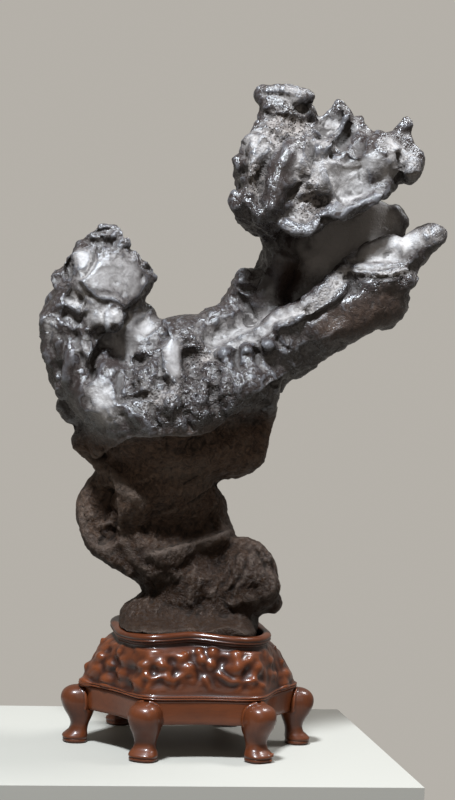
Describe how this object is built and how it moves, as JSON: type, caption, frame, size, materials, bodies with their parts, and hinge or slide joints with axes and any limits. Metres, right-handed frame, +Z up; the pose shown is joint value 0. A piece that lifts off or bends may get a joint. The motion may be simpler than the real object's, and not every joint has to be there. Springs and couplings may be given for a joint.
{
  "type": "scholar's rock on a carved stand",
  "caption": "Dark limestone scholar's rock with two horns, standing in the seat of a six-legged carved hardwood stand.",
  "frame": {"origin": "on the surface the stand rests on, under the middle of the whole object's bounding box", "axes": "+Z up; -Y is the front of the rock and of the stand; +X is towards the rock's taller, right-hand horn"},
  "size_m": [0.3163, 0.175, 0.5315],
  "materials": {
    "limestone": "near-black limestone, rubbed glossy on its high places and dusty grey-brown in its hollows",
    "hardwood": "red-brown hardwood, carved and polished to a gloss"
  },
  "bodies": {
    "root": {"stone": "limestone", "stand_top": "hardwood", "apron": "hardwood", "leg_front_left": "hardwood", "leg_front_right": "hardwood", "leg_left": "hardwood", "leg_right": "hardwood", "leg_back_left": "hardwood", "leg_back_right": "hardwood"}
  },
  "joints": []
}
